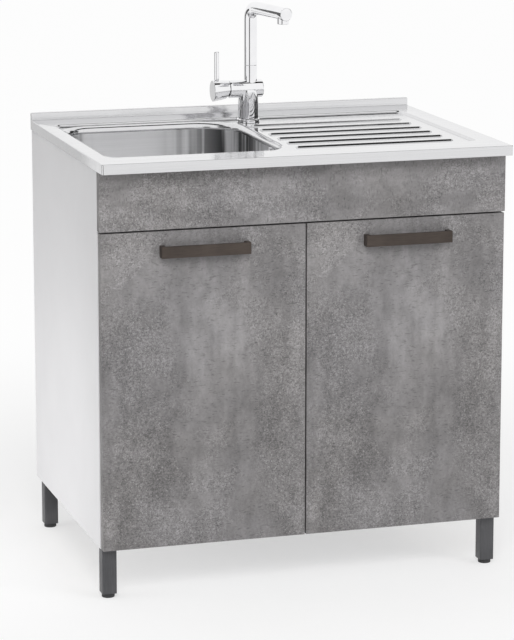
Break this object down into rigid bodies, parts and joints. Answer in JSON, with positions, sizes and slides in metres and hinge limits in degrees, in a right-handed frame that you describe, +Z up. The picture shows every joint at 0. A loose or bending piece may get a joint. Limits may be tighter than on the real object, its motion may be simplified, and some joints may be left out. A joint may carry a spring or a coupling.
{
  "type": "kitchen sink unit",
  "caption": "Kitchen sink unit: hinged-door base cabinet on square legs, sit-on steel sink with a bowl and a ribbed drainer, and a swivelling mixer tap.",
  "frame": {"origin": "on the floor, under the middle of the sink top", "axes": "+X to the right seen from the front, +Y to the back, +Z up"},
  "size_m": [0.8, 0.6, 1.0751],
  "materials": {
    "sink_steel": "fine brushed stainless sheet",
    "chrome_plate": "polished chrome plating",
    "zinc_steel": "nickel-plated fittings",
    "white_board": "white melamine-faced chipboard",
    "concrete_board": "matt concrete-effect faced chipboard",
    "handle_bronze": "dark bronze, satin",
    "leg_grey": "dark grey, satin",
    "foot_black": "black, matt",
    "white_plastic": "white polypropylene",
    "grey_plastic": "grey acetal",
    "seal_rubber": "black rubber"
  },
  "bodies": {
    "cabinet": {"left_side_panel": "white_board", "right_side_panel": "white_board", "bottom_panel": "white_board", "front_rail": "white_board", "rear_top_rail": "white_board", "rear_lower_rail": "white_board", "fascia_panel": "concrete_board", "sink_deck": "sink_steel", "sink_bowl": "sink_steel", "overflow_cover": "chrome_plate", "overflow_elbow": "white_plastic", "overflow_pipe": "white_plastic", "drain_flange": "chrome_plate", "drain_gasket": "seal_rubber", "drain_nut": "white_plastic", "tail_pipe": "white_plastic", "trap_body": "white_plastic", "trap_cup": "white_plastic", "trap_outlet_pipe": "white_plastic", "tap_base_ring": "chrome_plate", "tap_body": "chrome_plate", "tap_fixing_washer": "seal_rubber", "tap_fixing_nut": "zinc_steel", "cartridge_housing": "grey_plastic", "left_lower_hinge_arm": "zinc_steel", "left_lower_hinge_plate": "zinc_steel", "left_upper_hinge_arm": "zinc_steel", "left_upper_hinge_plate": "zinc_steel", "right_lower_hinge_arm": "zinc_steel", "right_lower_hinge_plate": "zinc_steel", "right_upper_hinge_arm": "zinc_steel", "right_upper_hinge_plate": "zinc_steel", "front_left_leg": "leg_grey", "front_right_leg": "leg_grey", "rear_left_leg": "leg_grey", "rear_right_leg": "leg_grey", "front_left_sink_clip": "zinc_steel", "front_right_sink_clip": "zinc_steel", "rear_left_sink_clip": "zinc_steel", "rear_right_sink_clip": "zinc_steel"},
    "left_door": {"left_door_panel": "concrete_board", "left_handle": "handle_bronze", "left_lower_hinge_cup": "zinc_steel", "left_upper_hinge_cup": "zinc_steel"},
    "right_door": {"right_door_panel": "concrete_board", "right_handle": "handle_bronze", "right_lower_hinge_cup": "zinc_steel", "right_upper_hinge_cup": "zinc_steel"},
    "spout_arm": {"spout": "chrome_plate", "aerator": "chrome_plate"},
    "mixer_turret": {"cartridge_turret": "grey_plastic"},
    "mixer_lever": {"lever_spindle": "zinc_steel", "lever_knob": "chrome_plate", "lever_rod": "chrome_plate"},
    "basket": {"strainer_basket": "chrome_plate", "basket_knob": "chrome_plate"},
    "front_left_foot_screw": {"front_left_foot": "foot_black"},
    "front_right_foot_screw": {"front_right_foot": "foot_black"},
    "rear_left_foot_screw": {"rear_left_foot": "foot_black"},
    "rear_right_foot_screw": {"rear_right_foot": "foot_black"}
  },
  "joints": [
    {"name": "left_door_hinge", "type": "hinge", "parent": "cabinet", "child": "left_door", "pos_m": [-0.3905, -0.2555, 0.4], "axis": [0, 0, -1], "range_deg": [0, 105]},
    {"name": "right_door_hinge", "type": "hinge", "parent": "cabinet", "child": "right_door", "pos_m": [0.3905, -0.2555, 0.4], "axis": [0, 0, 1], "range_deg": [0, 105]},
    {"name": "spout_swivel", "type": "hinge", "parent": "cabinet", "child": "spout_arm", "pos_m": [0.0235, 0.172, 0.94], "axis": [0, 0, 1], "range_deg": [-131, 109]},
    {"name": "temperature_turn", "type": "hinge", "parent": "cabinet", "child": "mixer_turret", "pos_m": [-0.012, 0.172, 0.8985], "axis": [1, 0, 0], "range_deg": [-45, 45]},
    {"name": "flow_tilt", "type": "hinge", "parent": "mixer_turret", "child": "mixer_lever", "pos_m": [-0.012, 0.172, 0.8985], "axis": [0, -1, 0], "range_deg": [0, 20]},
    {"name": "basket_lift", "type": "slide", "parent": "cabinet", "child": "basket", "axis": [0, 0, 1], "range_m": [0, 0.1]},
    {"name": "front_left_foot_level", "type": "slide", "parent": "cabinet", "child": "front_left_foot_screw", "axis": [0, 0, -1], "range_m": [0, 0.015]},
    {"name": "front_right_foot_level", "type": "slide", "parent": "cabinet", "child": "front_right_foot_screw", "axis": [0, 0, -1], "range_m": [0, 0.015]},
    {"name": "rear_left_foot_level", "type": "slide", "parent": "cabinet", "child": "rear_left_foot_screw", "axis": [0, 0, -1], "range_m": [0, 0.015]},
    {"name": "rear_right_foot_level", "type": "slide", "parent": "cabinet", "child": "rear_right_foot_screw", "axis": [0, 0, -1], "range_m": [0, 0.015]}
  ]
}
